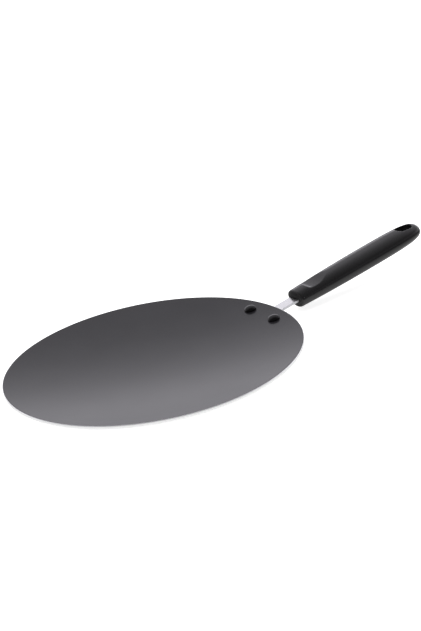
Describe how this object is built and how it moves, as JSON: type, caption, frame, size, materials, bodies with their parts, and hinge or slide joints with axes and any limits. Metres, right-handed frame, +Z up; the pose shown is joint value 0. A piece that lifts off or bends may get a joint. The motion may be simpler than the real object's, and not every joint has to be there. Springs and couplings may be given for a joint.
{
  "type": "tawa",
  "caption": "Round shallow-dished griddle plate with a riveted flat steel strip and a long moulded grip with a hanging hole, for flatbreads on a hob.",
  "frame": {"origin": "centre of the flat base, on the surface that the plate stands on", "axes": "+X along the handle, away from the plate; +Z up; +Y to the left of the handle seen from the plate"},
  "size_m": [0.463, 0.28, 0.044],
  "materials": {
    "coated_plate": "dark grey non-stick coating on the cooking face, bare turned aluminium on the rim and the underside",
    "strip_steel": "bright rolled stainless steel",
    "black_rivet": "gloss black coating",
    "black_phenolic": "satin moulded black phenolic",
    "screw_steel": "zinc-plated steel"
  },
  "bodies": {
    "root": {"tawa_plate": "coated_plate", "handle_strip": "strip_steel", "rivet_left": "black_rivet", "rivet_right": "black_rivet", "handle_grip": "black_phenolic", "handle_screw": "screw_steel", "screw_washer": "screw_steel"}
  },
  "joints": []
}
